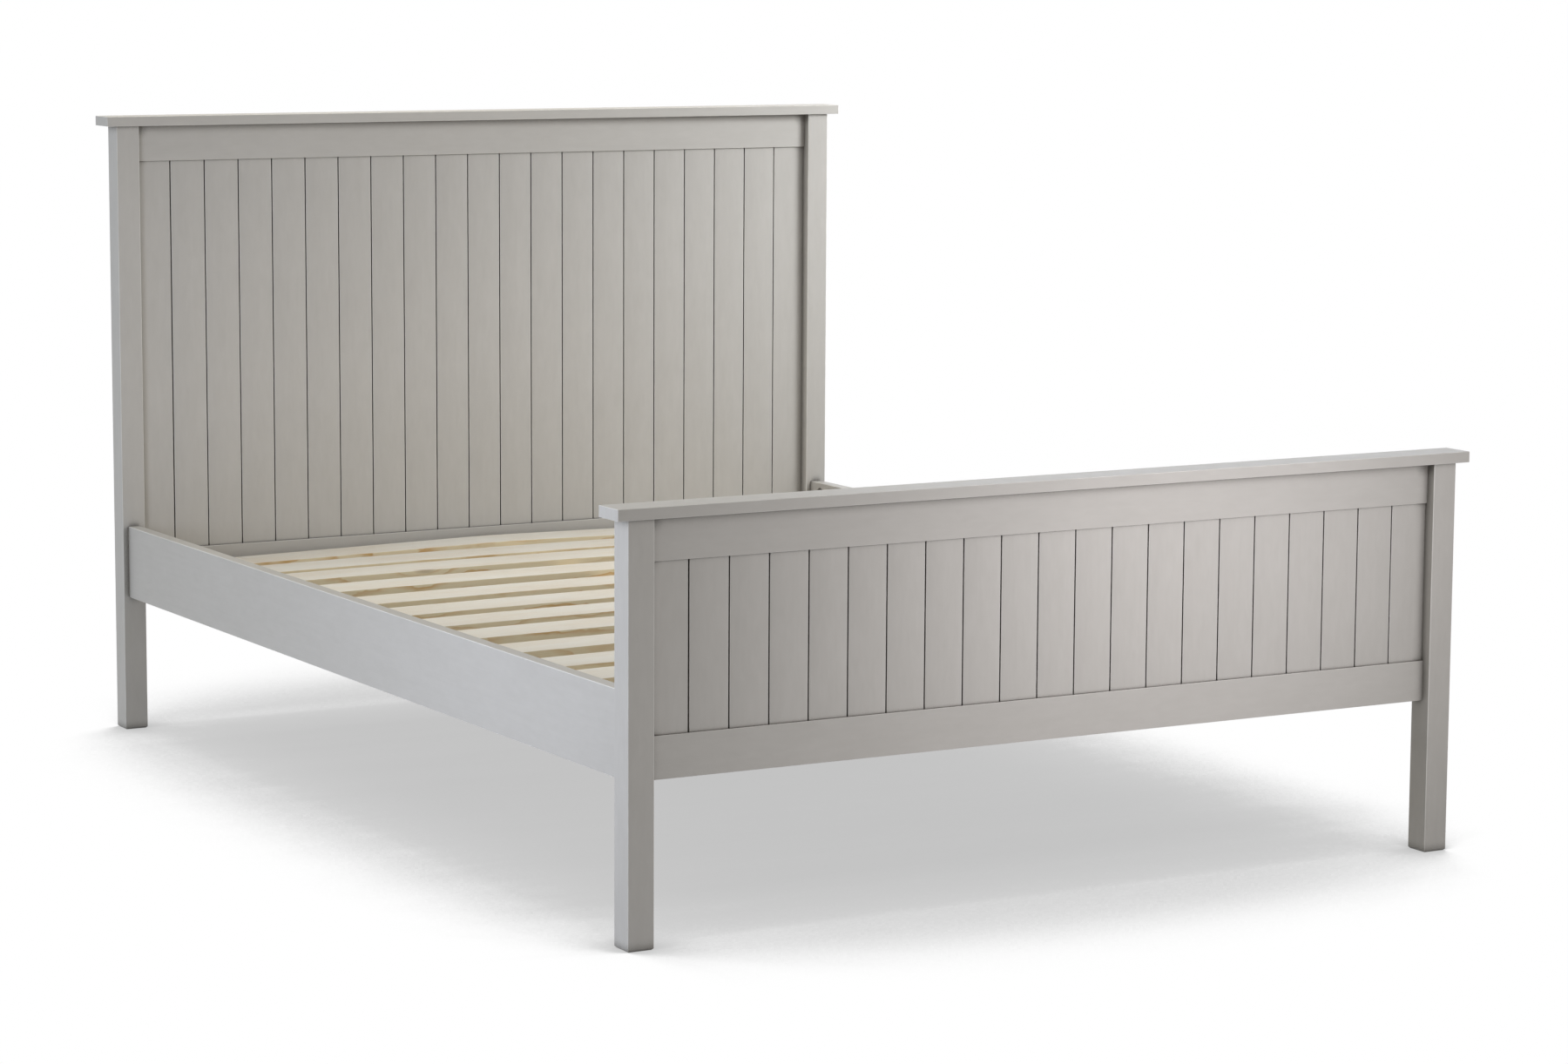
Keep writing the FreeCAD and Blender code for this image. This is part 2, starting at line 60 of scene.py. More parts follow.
# Joinery, in metres, with shares of a shank's radius and of a board's height
SCREW_INSET = 0.012
BRACKET_STEEL = 0.003
TONGUE_CLEARANCE = 0.0004
SCREW_CLEARANCE = 0.0001
HOLE_OVERRUN = 0.001
SCREW_TIP_SHARE = 0.2
GROOVE_CUT_SHARE = 3.0

# How a slat falls away beside its flat middle: as a straight line, or as a parabola
STRAIGHT_FALL = 1.0
ROUND_FALL = 2.0

# How finely shapes are divided, and the angle over which an edge stays sharp
EDGE_STEPS = 3
BEND_STEPS = 25
SCREW_SIDES = 20
SHARP_ANGLE = math.radians(34)

# The spacing of a screw's rings, in metres, before each ring gets its own height
RING_SPACING = 0.01

# Noises of the finishes: scale along the grain, scale across it, detail, roughness and distortion
PATTERNS = {
    "paint wander": (1.2, 5.0, 2.0, 0.5, 0.0),
    "paint grain": (4.0, 95.0, 4.0, 0.55, 0.0),
    "paint pores": (30.0, 1400.0, 2.0, 0.5, 0.0),
    "paint cloud": (3.2, 3.2, 2.0, 0.5, 0.0),
    "paint mottle": (14.0, 30.0, 3.0, 0.6, 0.0),
    "paint wisps": (30.0, 110.0, 3.0, 0.55, 0.4),
    "paint strokes": (5.0, 420.0, 2.0, 0.6, 0.0),
    "wood bend": (1.6, 6.0, 2.0, 0.5, 0.0),
    "wood wave": (11.0, 30.0, 3.0, 0.6, 0.0),
    "wood fibre": (14.0, 900.0, 3.0, 0.6, 0.0),
    "wood cloud": (5.0, 16.0, 2.0, 0.5, 0.0),
    "beech fleck": (700.0, 700.0, 2.0, 0.5, 0.0),
    "beech cloud": (60.0, 60.0, 2.0, 0.5, 0.0),
    "zinc cloud": (160.0, 160.0, 3.0, 0.5, 0.0),
    "zinc grit": (2600.0, 2600.0, 1.0, 0.5, 0.0),
}

# How a value in a finish is read: the two ends of its range, and what each end becomes
RANGES = {
    "board seam": (0.001, 0.003, 0.0, 1.0),
    "rounded edge": (0.85, 0.99, 1.0, 0.0),
    "painted corner shade": (0.52, 0.82, 0.95, 0.0),
    "paint grain": (0.35, 0.7, 0.0, 0.15),
    "paint cloud": (0.3, 0.7, 0.0, 0.25),
    "paint mottle": (0.3, 0.7, 0.0, 0.3),
    "paint wisps": (0.3, 0.7, 0.0, 0.3),
    "edge highlight share": (0.3, 0.7, 1.0, 0.6),
    "paint roughness": (0.3, 0.7, 0.38, 0.48),
    "knot reach": (0.0, 0.20, 1.0, 0.0),
    "knot core": (0.02, 0.06, 1.0, 0.0),
    "ring start": (0.5, 0.9, 0.0, 1.0),
    "ring end": (0.92, 1.0, 1.0, 0.0),
    "wood cloud": (0.35, 0.65, 0.1, 0.9),
    "wood fibre": (0.35, 0.7, 0.0, 0.2),
    "wood roughness": (0.3, 0.7, 0.55, 0.7),
    "side shade mask": (0.4, 0.8, 1.0, 0.0),
    "side ring contrast": (0.0, 1.0, 0.8, 1.2),
    "beech fleck": (0.45, 0.7, 0.0, 1.0),
    "beech cloud": (0.3, 0.7, 0.4, 1.0),
    "beech roughness": (0.3, 0.7, 0.5, 0.65),
    "zinc cloud": (0.35, 0.7, 0.0, 1.0),
    "zinc roughness": (0.3, 0.7, 0.28, 0.42),
    "deep shadow": (0.30, 0.60, 0.54, 0.63),
    "soft shadow": (0.600, 0.757, 0.0, 0.37),
}

# Heights of the finishes' fine relief, in metres
GRAIN_RELIEF = 0.00009
STROKE_RELIEF = 0.00003
PORE_RELIEF = 0.00001
RING_RELIEF = 0.00005
FIBRE_RELIEF = 0.00006
FLECK_RELIEF = 0.00003
GRIT_RELIEF = 0.00001

# The paint: how far its grain wanders, in metres, and how it finds the corners between two pieces to paint
# shade into
GRAIN_WANDER = 0.05
CORNER_REACH = 0.024
CORNER_SAMPLES = 6
CORNER_POWER = 1.5

# The bare wood: its rings and pith, how far they bend, slope, wave and part at a knot, and its knots
RINGS_PER_METRE = 210.0
PITH_DEPTH = 0.035
PITH_BEND = 0.06
RING_SLOPE = 0.011
RING_WAVE = 0.009
RING_KNOT = 0.010
KNOT_SCALES = (2.1, 9.0, 9.0)
KNOT_SHARE = 0.6

# How dark the darker parts of beech and zinc are
BEECH_DARK_SHARE = 0.7
ZINC_DARK_SHARE = 0.72

# How far each slat's grain is moved along, across and in depth, and how fast that changes along the bed
GRAIN_REACHES = (0.9, 0.02, 0.013)
GRAIN_RATES = (2.4, 9.0, 7.0)
GROUP_STEP = 0.3

# The floor with its painted shadow, and the sky
FLOOR_HALF = 30.0
FLOOR_GREY = 0.62
SHADOW_REACH = 1.6
SHADOW_SAMPLES = 32
SKY_COLOUR = (1.0, 0.98, 0.92)
SKY_STRENGTH = 0.29

# The camera: place, turn in degrees, lens and sensor in millimetres, and how far it sees
CAMERA_PLACE = (-3.4437, -6.1789, 1.4121)
CAMERA_TURN = (82.092, -0.320, -29.727)
CAMERA_LENS = 97.94
CAMERA_SENSOR = 36.0
CAMERA_FAR = 200.0

# Each lamp's name, place, target, size, watts, colour, beam in degrees, and whether the paint mirrors it
LAMPS = (
    ("left window", (-4.0, 3.0, 1.8), (0.0, 0.3, 0.4),
     (3.0, 2.0), 39.0, (0.73, 0.84, 1.0), 180, True),
    ("right window", (3.5, 3.2, 2.5), (0.0, 0.3, 0.3),
     (2.5, 2.0), 17.9, (0.73, 0.81, 1.0), 180, True),
    ("overhead softbox", (0.0, 1.2, 3.0), (0.0, 0.6, 0.3),
     (2.0, 1.5), 26.0, (1.0, 0.94, 0.80), 180, True),
    ("left softbox", (-2.1, -0.75, 0.7), (-0.7, -0.65, 0.3),
     (0.6, 0.6), 11.2, (0.79, 0.85, 1.0), 180, False),
    ("foot softbox", (0.60, -2.32, 0.78), (0.09, -0.99, 0.60),
     (0.3, 0.3), 3.42, (0.99, 0.96, 1.0), 85, False),
    ("head softbox", (1.3, 0.1, 1.4), (0.7, 1.0, 0.8),
     (0.5, 0.5), 10.0, (0.95, 0.97, 1.0), 180, False),
)


# Sizes and colours that a user would change

class BedSizes(bpy.types.PropertyGroup):
    """Sizes of the repeated pieces, in metres."""

    board_reveal: bpy.props.FloatProperty(
        name="Board reveal", description="Width of the groove between two boards",
        default=0.0019, unit="LENGTH")
    board_bevel: bpy.props.FloatProperty(
        name="Board bevel", description="Rounding along both sides of each groove",
        default=0.0011, unit="LENGTH")
    tongue_thickness: bpy.props.FloatProperty(
        name="Tongue thickness", description="Thickness of the tongue at the bottom of each groove",
        default=0.004, unit="LENGTH")
    tongue_reach: bpy.props.FloatProperty(
        name="Tongue reach", description="How far a tongue enters the next board",
        default=0.006, unit="LENGTH")
    slat_thickness: bpy.props.FloatProperty(
        name="Slat thickness", description="Thickness of a slat", default=0.015, unit="LENGTH")
    slat_edge: bpy.props.FloatProperty(
        name="Slat edge radius", description="Rounding of the long edges of a slat",
        default=0.001, unit="LENGTH")
    screw_diameter: bpy.props.FloatProperty(
        name="Screw diameter", description="Diameter of a wood screw's shank",
        default=0.004, unit="LENGTH")
    screw_head: bpy.props.FloatProperty(
        name="Screw head", description="Diameter of a countersunk head", default=0.008, unit="LENGTH")
    screw_head_height: bpy.props.FloatProperty(
        name="Screw head height", description="Height of the countersunk cone",
        default=0.0024, unit="LENGTH")
    slat_screw: bpy.props.FloatProperty(
        name="Slat screw length", description="Length of the screws through the slats",
        default=0.030, unit="LENGTH")
    ledge_screw: bpy.props.FloatProperty(
        name="Ledge screw length", description="Length of the screws through the ledges",
        default=0.035, unit="LENGTH")
    bracket_screw: bpy.props.FloatProperty(
        name="Bracket screw length", description="Length of the screws through the brackets",
        default=0.016, unit="LENGTH")
    slot_width: bpy.props.FloatProperty(
        name="Slot width", description="Width of a screw's two crossed slots",
        default=0.001, unit="LENGTH")
    slot_length: bpy.props.FloatProperty(
        name="Slot length", description="Length of a screw's two crossed slots",
        default=0.0044, unit="LENGTH")
    slot_depth: bpy.props.FloatProperty(
        name="Slot depth", description="Depth of a screw's two crossed slots",
        default=0.0014, unit="LENGTH")


class BedColours(bpy.types.PropertyGroup):
    """Colours of the finishes."""

    paint: bpy.props.FloatVectorProperty(
        name="Paint", description="Light grey of the painted wood", subtype="COLOR",
        default=(0.595, 0.577, 0.546), min=0.0, max=1.0)
    paint_dark: bpy.props.FloatVectorProperty(
        name="Paint over the grain", description="Slightly darker grey where the grain shows through",
        subtype="COLOR", default=(0.535, 0.518, 0.486), min=0.0, max=1.0)
    # Painted highlight: a much paler grey on the rounded edges, for the light that they catch
    edge_highlight: bpy.props.FloatVectorProperty(
        name="Paint on the edges", description="Paler grey of the edge highlight share along the rounded edges",
        subtype="COLOR", default=(0.92, 0.905, 0.875), min=0.0, max=1.0)
    # Painted shade: the paint is darkened towards this tint deep in the corners between two pieces
    corner: bpy.props.FloatVectorProperty(
        name="Corners", description="Tint of the paint deep in the corners between two pieces",
        subtype="COLOR", default=(0.2, 0.19, 0.175), min=0.0, max=1.0)
    # Painted shade: near black deep in the grooves between the boards, where shade falls
    seam: bpy.props.FloatVectorProperty(
        name="Seams", description="Dark of the bare wood deep in the grooves between the boards",
        subtype="COLOR", default=(0.07, 0.062, 0.055), min=0.0, max=1.0)
    early_wood: bpy.props.FloatVectorProperty(
        name="Early wood", description="Pale wood between the rings of the slats", subtype="COLOR",
        default=(0.945, 0.938, 0.885), min=0.0, max=1.0)
    late_wood: bpy.props.FloatVectorProperty(
        name="Late wood", description="Darker wood of the rings", subtype="COLOR",
        default=(0.72, 0.52, 0.29), min=0.0, max=1.0)
    # Painted shade: faces that don't point up or down take this warmer, darker tint
    side_shade_tint: bpy.props.FloatVectorProperty(
        name="Sawn edges", description="Tint of the slats' narrow edges, which are warmer than their faces",
        subtype="COLOR", default=(1.0, 0.885, 0.66), min=0.0, max=1.0)
    knot: bpy.props.FloatVectorProperty(
        name="Knots", description="Brown of the knots in the slats", subtype="COLOR",
        default=(0.30, 0.16, 0.07), min=0.0, max=1.0)
    beech: bpy.props.FloatVectorProperty(
        name="Beech", description="Colour of the dowels", subtype="COLOR",
        default=(0.58, 0.38, 0.22), min=0.0, max=1.0)
    zinc: bpy.props.FloatVectorProperty(
        name="Zinc", description="Colour of the plated steel", subtype="COLOR",
        default=(0.62, 0.63, 0.65), min=0.0, max=1.0)


# Nodes of materials and trees

def fill(tree, node, inputs):
    """Gives a node's inputs their values, and links those that are given as sockets."""
    for key, value in inputs.items():
        if isinstance(value, bpy.types.NodeSocket):
            tree.links.new(value, node.inputs[key])
        else:
            node.inputs[key].default_value = value


def add_node(tree, kind, inputs=None, **settings):
    """A node with its settings and its inputs."""
    node = tree.nodes.new(kind)
    for name, value in settings.items():
        setattr(node, name, value)
    fill(tree, node, inputs or {})
    return node


def maths(tree, operation, *values):
    """The result of a Math node."""
    return add_node(tree, "ShaderNodeMath", dict(enumerate(values)), operation=operation).outputs[0]


def plus(tree, first, second):
    """The sum of two values."""
    return maths(tree, "ADD", first, second)


def times(tree, first, second):
    """The product of two values."""
    return maths(tree, "MULTIPLY", first, second)


def vector_maths(tree, operation, *values):
    """The vector result of a Vector Math node."""
    node = add_node(tree, "ShaderNodeVectorMath", dict(enumerate(values)), operation=operation)
    return node.outputs["Vector"]


def axes_of(tree, vector):
    """The three numbers of a vector."""
    return add_node(tree, "ShaderNodeSeparateXYZ", {0: vector}).outputs


def ranged(tree, value, name, ease="LINEAR"):
    """A value brought to one of the table's ranges, and kept inside it."""
    low, high, to_low, to_high = RANGES[name]
    inputs = {"Value": value, "From Min": low, "From Max": high, "To Min": to_low, "To Max": to_high}
    return add_node(tree, "ShaderNodeMapRange", inputs, interpolation_type=ease).outputs["Result"]


def blended(tree, factor, first, second, way="MIX"):
    """A colour between two colours, or with MULTIPLY the first one tinted by the second."""
    inputs = {0: factor, 6: first, 7: second}
    return add_node(tree, "ShaderNodeMix", inputs, data_type="RGBA", blend_type=way).outputs[2]


def stretched(tree, place, scales):
    """A place with each axis scaled by its own factor."""
    return add_node(tree, "ShaderNodeMapping", {"Vector": place, "Scale": scales}).outputs["Vector"]


def pattern(tree, name, place, axis="x"):
    """A noise of the table in a place, stretched along the axis of the grain."""
    along, across, detail, roughness, distortion = PATTERNS[name]
    scales = tuple(along if letter == axis else across for letter in "xyz")
    inputs = {
        "Vector": stretched(tree, place, scales), "Scale": 1.0, "Detail": detail,
        "Roughness": roughness, "Distortion": distortion,
    }
    return add_node(tree, "ShaderNodeTexNoise", inputs).outputs["Fac"]


def relief(tree, *layers):
    """The normal of a surface with layers of relief, each a pattern and its height in metres."""
    normal = None
    for height, distance in layers:
        inputs = {"Height": height, "Distance": distance, "Strength": 1.0}
        if normal is not None:
            inputs["Normal"] = normal
        normal = add_node(tree, "ShaderNodeBump", inputs).outputs["Normal"]
    return normal


def own_place(tree):
    """A place in the object's own coordinates."""
    return add_node(tree, "ShaderNodeTexCoord").outputs["Object"]


def new_material(name):
    """An empty material with its tree and its output."""
    material = bpy.data.materials.new(name)
    material.use_nodes = True
    tree = material.node_tree
    tree.nodes.clear()
    return material, tree, add_node(tree, "ShaderNodeOutputMaterial")


def surface(tree, output, colour, roughness, normal, metallic=0.0):
    """A Principled surface."""
    inputs = {"Base Color": colour, "Roughness": roughness, "Normal": normal, "Metallic": metallic}
    shader = add_node(tree, "ShaderNodeBsdfPrincipled", inputs)
    tree.links.new(shader.outputs["BSDF"], output.inputs["Surface"])


# Finishes

def opaque(colour, share=1.0):
    """A colour with full alpha, darkened where a share of it is asked for."""
    return (*(share * channel for channel in colour), 1.0)


def facing(tree):
    """How squarely a surface faces along X, along Y and up or down."""
    normal = add_node(tree, "ShaderNodeNewGeometry").outputs["Normal"]
    return axes_of(tree, vector_maths(tree, "ABSOLUTE", normal))


def rounded_edge(tree):
    """1 on the rounded edges of a squared piece, and 0 on its faces."""
    way = facing(tree)
    squarest = maths(tree, "MAXIMUM", maths(tree, "MAXIMUM", way[0], way[1]), way[2])
    return ranged(tree, squarest, "rounded edge")


def open_sky(tree, reach, samples):
    """How much open space a surface sees within a reach."""
    return add_node(tree, "ShaderNodeAmbientOcclusion", {"Distance": reach}, samples=samples).outputs["AO"]


def painted_corner_shade(tree):
    """Where shade is painted: 1 deep in the corners between two pieces, and 0 on an open face."""
    sky = open_sky(tree, CORNER_REACH, CORNER_SAMPLES)
    return maths(tree, "POWER", ranged(tree, sky, "painted corner shade"), CORNER_POWER)


def painted_wood(colours, name, axis):
    """Smooth satin paint over wood whose close grain runs along one axis, with painted highlights and
    shade.
    """
    material, tree, output = new_material(name)
    place = own_place(tree)
    shift = times(tree, pattern(tree, "paint wander", place, axis), GRAIN_WANDER)
    grain = pattern(tree, "paint grain", vector_maths(tree, "ADD", place, shift), axis)
    pores = pattern(tree, "paint pores", place, axis)
    cloud = pattern(tree, "paint cloud", place, axis)
    mottle = pattern(tree, "paint mottle", place, axis)
    wisps = pattern(tree, "paint wisps", place, axis)
    strokes = pattern(tree, "paint strokes", place, axis)
    tone = ranged(tree, grain, "paint grain")
    for key, noise in (("paint cloud", cloud), ("paint mottle", mottle), ("paint wisps", wisps)):
        tone = plus(tree, tone, ranged(tree, noise, key))
    colour = blended(tree, tone, opaque(colours.paint), opaque(colours.paint_dark))
    # Painted highlight: the rounded edges turn paler, most where the mottle is low
    edge = times(tree, rounded_edge(tree), ranged(tree, mottle, "edge highlight share"))
    colour = blended(tree, edge, colour, opaque(colours.edge_highlight))
    # Painted shade: the paint darkens deep in the corners between pieces
    colour = blended(tree, painted_corner_shade(tree), colour, opaque(colours.corner), "MULTIPLY")
    # Painted shade: near black deep in the grooves between the boards
    seam = add_node(tree, "ShaderNodeAttribute", attribute_name="seam").outputs["Fac"]
    colour = blended(tree, seam, colour, opaque(colours.seam))
    normal = relief(tree, (grain, GRAIN_RELIEF), (strokes, STROKE_RELIEF), (pores, PORE_RELIEF))
    surface(tree, output, colour, ranged(tree, strokes, "paint roughness"), normal)
    return material


def knots(tree, place):
    """1 near a knot and 0 away from it, and the same for the knot's own brown core."""
    cells = {"Vector": stretched(tree, place, KNOT_SCALES), "Scale": 1.0, "Randomness": 1.0}
    distance = add_node(tree, "ShaderNodeTexVoronoi", cells).outputs["Distance"]
    return ranged(tree, distance, "knot reach", "SMOOTHSTEP"), ranged(tree, distance, "knot core")


def late_rings(tree, place, knot_near):
    """1 in the late wood of the rings around the pith, and 0 in the early wood."""
    along, across, deep = axes_of(tree, place)
    across = plus(tree, across, times(tree, pattern(tree, "wood bend", place), PITH_BEND))
    deep = plus(tree, deep, PITH_DEPTH)
    radius = maths(tree, "SQRT", plus(tree, times(tree, across, across), times(tree, deep, deep)))
    wave = pattern(tree, "wood wave", place)
    for value, weight in ((along, RING_SLOPE), (wave, RING_WAVE), (knot_near, RING_KNOT)):
        radius = plus(tree, radius, times(tree, value, weight))
    ring = maths(tree, "FRACT", times(tree, radius, RINGS_PER_METRE))
    return times(tree, ranged(tree, ring, "ring start"), ranged(tree, ring, "ring end"))


def whitewood(colours, name, place_of):
    """Bare planed softwood with rings, fibres and a few knots; the grain runs along local X."""
    material, tree, output = new_material(name)
    place = place_of(tree)
    knot_near, knot_core = knots(tree, place)
    late = late_rings(tree, place, knot_near)
    fibre = pattern(tree, "wood fibre", place)
    cloud = pattern(tree, "wood cloud", place)
    # Painted shade: faces that don't point up or down come out darker and warmer, with stronger rings
    side_shade = ranged(tree, facing(tree)[2], "side shade mask")
    tone = times(tree, late, ranged(tree, cloud, "wood cloud"))
    tone = times(tree, tone, ranged(tree, side_shade, "side ring contrast"))
    tone = plus(tree, tone, ranged(tree, fibre, "wood fibre"))
    colour = blended(tree, tone, opaque(colours.early_wood), opaque(colours.late_wood))
    colour = blended(tree, side_shade, colour, opaque(colours.side_shade_tint), "MULTIPLY")
    colour = blended(tree, times(tree, knot_core, KNOT_SHARE), colour, opaque(colours.knot))
    normal = relief(tree, (late, RING_RELIEF), (fibre, FIBRE_RELIEF))
    surface(tree, output, colour, ranged(tree, fibre, "wood roughness"), normal)
    return material


def slat_place(tree):
    """The place that a slat's tree stored on it."""
    return add_node(tree, "ShaderNodeAttribute", attribute_name="grain_place").outputs["Vector"]


def rail_place(tree):
    """The object's own place, turned so that the grain runs along Y."""
    turned = {"Vector": own_place(tree), "Rotation": (0.0, 0.0, math.radians(90))}
    return add_node(tree, "ShaderNodeMapping", turned).outputs["Vector"]


def beech(colours, name):
    """Bare turned hardwood with small flecks."""
    material, tree, output = new_material(name)
    place = own_place(tree)
    fleck = pattern(tree, "beech fleck", place)
    cloud = pattern(tree, "beech cloud", place)
    tone = times(tree, ranged(tree, fleck, "beech fleck"), ranged(tree, cloud, "beech cloud"))
    colour = blended(tree, tone, opaque(colours.beech), opaque(colours.beech, BEECH_DARK_SHARE))
    normal = relief(tree, (fleck, FLECK_RELIEF))
    surface(tree, output, colour, ranged(tree, fleck, "beech roughness"), normal)
    return material


def zinc_steel(colours, name):
    """Bright zinc plating, faintly clouded."""
    material, tree, output = new_material(name)
    place = own_place(tree)
    cloud = pattern(tree, "zinc cloud", place)
    tone = ranged(tree, cloud, "zinc cloud")
    colour = blended(tree, tone, opaque(colours.zinc), opaque(colours.zinc, ZINC_DARK_SHARE))
    normal = relief(tree, (pattern(tree, "zinc grit", place), GRIT_RELIEF))
    surface(tree, output, colour, ranged(tree, cloud, "zinc roughness"), normal, metallic=1.0)
    return material


# Each finish's maker, the material's name and, for wood, how its grain runs
FINISHES = {
    "paint_x": (painted_wood, "painted wood across", "x"),
    "paint_y": (painted_wood, "painted wood lengthwise", "y"),
    "paint_z": (painted_wood, "painted wood upright", "z"),
    "slats": (whitewood, "whitewood slats", slat_place),
    "battens": (whitewood, "whitewood battens", rail_place),
    "beech": (beech, "beech"),
    "zinc": (zinc_steel, "zinc steel"),
}
MATERIALS = {}


def finish(key):
    """The material of a finish, made when it is first asked for."""
    if key not in MATERIALS:
        maker, *details = FINISHES[key]
        MATERIALS[key] = maker(bpy.context.scene.bed_colours, *details)
    return MATERIALS[key]


def dress(name, key):
    """Gives a node of the frame its material."""
    mesh = nodes[name].data
    if not mesh.materials:
        mesh.materials.append(None)
    for index in range(len(mesh.materials)):
        mesh.materials[index] = finish(key)


# Parts of the Geometry Nodes trees

def new_tree(name, numbers, **others):
    """A tree for a modifier, with named inputs for its numbers, its material and anything else."""
    tree = bpy.data.node_groups.new(name, "GeometryNodeTree")
    tree.is_modifier = True
    face = tree.interface
    face.new_socket("Geometry", in_out="INPUT", socket_type="NodeSocketGeometry")
    face.new_socket("Geometry", in_out="OUTPUT", socket_type="NodeSocketGeometry")
    kinds = {**others, **dict.fromkeys(numbers, "Float"), "Material": "Material"}
    for label, kind in kinds.items():
        face.new_socket(label, in_out="INPUT", socket_type="NodeSocket" + kind)
    return tree, add_node(tree, "NodeGroupInput").outputs, add_node(tree, "NodeGroupOutput")


def point(tree, x=0.0, y=0.0, z=0.0):
    """A vector from three numbers or sockets."""
    return add_node(tree, "ShaderNodeCombineXYZ", {0: x, 1: y, 2: z}).outputs[0]


def position(tree):
    """The place of each point of a shape."""
    return add_node(tree, "GeometryNodeInputPosition").outputs[0]


def stored(tree, shape, name, value, kind="FLOAT_VECTOR"):
    """A shape with a named value stored on its points."""
    inputs = {"Geometry": shape, "Name": name, "Value": value}
    return add_node(
        tree, "GeometryNodeStoreNamedAttribute", inputs, data_type=kind, domain="POINT").outputs[0]


def stored_vector(tree, name):
    """A named vector that is stored on the points."""
    node = add_node(tree, "GeometryNodeInputNamedAttribute", {"Name": name}, data_type="FLOAT_VECTOR")
    return node.outputs["Attribute"]


def moved(tree, shape, way):
    """A shape moved by a vector."""
    return add_node(tree, "GeometryNodeTransform", {"Geometry": shape, "Translation": way}).outputs[0]


def swept(tree, path, profile, scale=1.0):
    """A closed shape that a profile makes along a path."""
    inputs = {"Curve": path, "Profile Curve": profile, "Scale": scale, "Fill Caps": True}
    return add_node(tree, "GeometryNodeCurveToMesh", inputs).outputs[0]


def rounded_bar(tree, width, thickness, radius, start, end, steps):
    """A straight bar of a rounded rectangle's section, swept from start to end."""
    section = add_node(
        tree, "GeometryNodeCurvePrimitiveQuadrilateral", {"Width": width, "Height": thickness})
    eased = add_node(
        tree, "GeometryNodeFilletCurve",
        {"Curve": section.outputs[0], "Radius": radius, "Count": EDGE_STEPS}, mode="POLY")
    line = add_node(tree, "GeometryNodeCurvePrimitiveLine", {"Start": start, "End": end})
    path = add_node(tree, "GeometryNodeResampleCurve", {"Curve": line.outputs[0], "Count": steps})
    return swept(tree, path.outputs[0], eased.outputs[0])


def box_shape(tree, size, middle=(0.0, 0.0, 0.0)):
    """A plain block, used to cut or to join."""
    return moved(tree, add_node(tree, "GeometryNodeMeshCube", {"Size": size}).outputs[0], middle)


def joined(tree, operation, first, *others):
    """The union of shapes, or the first shape with the others cut away."""
    node = add_node(tree, "GeometryNodeMeshBoolean", operation=operation, solver="EXACT")
    if operation == "DIFFERENCE":
        tree.links.new(first, node.inputs["Mesh 1"])
    else:
        others = (first, *others)
    for shape in others:
        tree.links.new(shape, node.inputs["Mesh 2"])
    return node.outputs["Mesh"]


def by_index(tree, values):
    """A value for each point of a line, in their order."""
    switch = add_node(tree, "GeometryNodeIndexSwitch", data_type="FLOAT")
    while len(switch.index_switch_items) < len(values):
        switch.index_switch_items.new()
    index = add_node(tree, "GeometryNodeInputIndex").outputs[0]
    fill(tree, switch, {"Index": index, **dict(enumerate(values, start=1))})
    return switch.outputs[0]


def stem_shape(tree, rings):
    """A closed turned shape along Z, through rings that each have a radius and a height."""
    radii, heights = zip(*rings)
    line = add_node(
        tree, "GeometryNodeMeshLine", {"Count": len(rings), "Offset": (0.0, 0.0, RING_SPACING)})
    curve = add_node(tree, "GeometryNodeMeshToCurve", {"Mesh": line.outputs[0]})
    placed = add_node(
        tree, "GeometryNodeSetPosition",
        {"Geometry": curve.outputs[0], "Position": point(tree, z=by_index(tree, heights))})
    sized = add_node(
        tree, "GeometryNodeSetCurveRadius",
        {"Curve": placed.outputs[0], "Radius": by_index(tree, radii)})
    circle = add_node(tree, "GeometryNodeCurvePrimitiveCircle", {"Resolution": SCREW_SIDES, "Radius": 1.0})
    radius = add_node(tree, "GeometryNodeInputRadius").outputs[0]
    return swept(tree, sized.outputs[0], circle.outputs[0], radius)


def instanced(tree, points, shape, **turned):
    """A copy of a shape on each point."""
    inputs = {"Points": points, "Instance": shape, **turned}
    return add_node(tree, "GeometryNodeInstanceOnPoints", inputs).outputs[0]


def realized(tree, instances):
    """Instances turned into real meshes."""
    return add_node(tree, "GeometryNodeRealizeInstances", {"Geometry": instances}).outputs[0]


def finished(tree, output, shapes, material):
    """Ends a tree: real meshes, smooth over the small roundings, with their material."""
    smooth = add_node(
        tree, "GeometryNodeSetShadeSmooth", {"Geometry": realized(tree, shapes), "Shade Smooth": True})
    angle = add_node(tree, "GeometryNodeInputMeshEdgeAngle").outputs["Unsigned Angle"]
    sharp = maths(tree, "GREATER_THAN", angle, SHARP_ANGLE)
    edges = add_node(
        tree, "GeometryNodeSetShadeSmooth",
        {"Geometry": smooth.outputs[0], "Selection": sharp, "Shade Smooth": False}, domain="EDGE")
    painted = add_node(
        tree, "GeometryNodeSetMaterial", {"Geometry": edges.outputs[0], "Material": material})
    tree.links.new(painted.outputs[0], output.inputs[0])


# Trees of Geometry Nodes for the boards, the screws and the slats

BOARD_INPUTS = ("Pitch", "Height", "Thickness", "Reveal", "Bevel", "Tongue Thickness", "Tongue Reach")
SCREW_INPUTS = ("Length", "Diameter", "Head Diameter", "Head Height")
SLOT_INPUTS = ("Slot Width", "Slot Length", "Slot Depth")
SLAT_INPUTS = (
    "Slat Length", "Width", "Thickness", "Edge Radius", "Crown", "Flat Half Width", "Evenness",
    "Screw Place", "Screw Shift", "Hole Gap",
)


